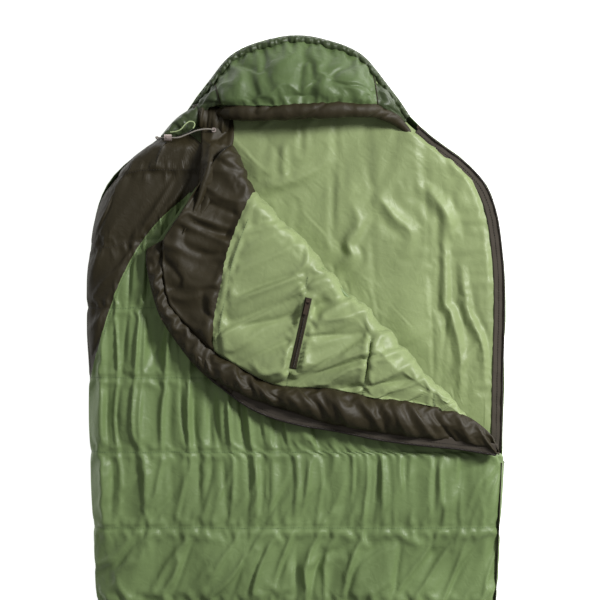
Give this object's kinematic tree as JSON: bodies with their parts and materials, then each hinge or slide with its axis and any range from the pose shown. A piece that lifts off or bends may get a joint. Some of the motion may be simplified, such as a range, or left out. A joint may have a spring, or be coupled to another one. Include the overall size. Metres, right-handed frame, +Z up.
{
  "type": "mummy sleeping bag",
  "caption": "Quilted hooded sleeping bag lying flat, its front panel unzipped and folded back, with a side zip, inner pocket and hood draw cord.",
  "frame": {"origin": "on the ground under the middle of the bag's length and width", "axes": "+Y towards the hood, +X towards the zip side, +Z up from the ground"},
  "size_m": [0.7979, 2.196, 0.1196],
  "materials": {
    "shell_green": "satin",
    "lining_green": "satin",
    "panel_brown": "satin",
    "gusset_olive": "satin",
    "insulation": "matte",
    "zip_tape": "matte",
    "zip_coil": "satin",
    "zip_metal": "satin",
    "cord_grey": "matte",
    "cord_green": "matte",
    "lock_metal": "satin",
    "spring_steel": "satin",
    "webbing": "matte"
  },
  "bodies": {
    "bag": {"back_shell": "shell_green", "back_insulation": "insulation", "back_lining": "lining_green", "front_shell": "shell_green", "shoulder_panel": "panel_brown", "front_insulation": "insulation", "front_lining": "lining_green", "foot_wall": "shell_green", "side_wall_left": "shell_green", "side_wall_right": "shell_green", "hood_shell": "shell_green", "hood_gusset_left": "gusset_olive", "hood_gusset_right": "gusset_olive", "hood_insulation": "insulation", "hood_lining": "lining_green", "hood_hem": "gusset_olive", "hood_face_roll": "panel_brown", "neck_gather": "panel_brown", "zip_tape_back_open": "zip_tape", "zip_coil_back_open": "zip_coil", "zip_top_stop_back": "zip_metal", "zip_tape_back_closed": "zip_tape", "zip_tape_front_closed": "zip_tape", "zip_coil_back_closed": "zip_coil", "zip_coil_front_closed": "zip_coil", "zip_bottom_stop": "zip_metal", "hang_loop_left": "webbing", "hang_loop_right": "webbing", "cord_eyelet": "lock_metal", "hood_cord": "cord_grey", "neck_loop_cord": "cord_green", "hood_cord_knot": "cord_grey"},
    "flap": {"flap_shell": "shell_green", "flap_insulation": "insulation", "flap_lining": "lining_green", "flap_facing": "panel_brown", "flap_draft_tube": "panel_brown", "flap_collar": "panel_brown", "flap_zip_guard": "panel_brown", "flap_zip_tape": "zip_tape", "flap_zip_coil": "zip_coil", "flap_zip_top_stop": "zip_metal", "pocket_bag": "lining_green", "pocket_zip_tape": "zip_tape", "pocket_zip_coil": "zip_coil"},
    "zip_slider": {"zip_slider": "zip_metal"},
    "zip_pull_outer": {"zip_pull_outer": "zip_metal"},
    "zip_pull_inner": {"zip_pull_inner": "zip_metal"},
    "pocket_slider": {"pocket_slider": "zip_metal"},
    "pocket_pull": {"pocket_pull": "zip_metal"},
    "cord_lock": {"cord_lock_barrel": "lock_metal", "cord_lock_spring": "spring_steel"},
    "cord_lock_button": {"cord_lock_button": "lock_metal"}
  },
  "joints": [
    {"name": "flap_fold", "type": "hinge", "parent": "bag", "child": "flap", "pos_m": [-0.078, 0.8, 0.0876], "axis": [-0.6846, 0.7289, 0], "range_deg": [0, 160]},
    {"name": "zip_travel", "type": "slide", "parent": "bag", "child": "zip_slider", "axis": [-0.044, -0.999, 0], "range_m": [0, 0.57]},
    {"name": "zip_pull_outer_swing", "type": "hinge", "parent": "zip_slider", "child": "zip_pull_outer", "pos_m": [0.39569, 0.28275, 0.0444], "axis": [0, 0, 1], "range_deg": [0, 170]},
    {"name": "zip_pull_inner_swing", "type": "hinge", "parent": "zip_slider", "child": "zip_pull_inner", "pos_m": [0.38431, 0.28325, 0.0444], "axis": [0, 0, -1], "range_deg": [0, 170]},
    {"name": "pocket_zip_travel", "type": "slide", "parent": "flap", "child": "pocket_slider", "axis": [-0.2198, -0.9755, 0], "range_m": [0, 0.112]},
    {"name": "pocket_pull_swing", "type": "hinge", "parent": "pocket_slider", "child": "pocket_pull", "pos_m": [0.02024, 0.5892, 0.1176], "axis": [-0.9755, 0.2198, 0], "range_deg": [0, 170]},
    {"name": "cord_lock_slide", "type": "slide", "parent": "bag", "child": "cord_lock", "axis": [1, 0, 0], "range_m": [-0.01, 0.007]},
    {"name": "cord_lock_press", "type": "slide", "parent": "cord_lock", "child": "cord_lock_button", "axis": [0, 0, -1], "range_m": [0, 0.0015], "stiffness_N_per_m": 300, "deforming": ["cord_lock_spring"]}
  ]
}
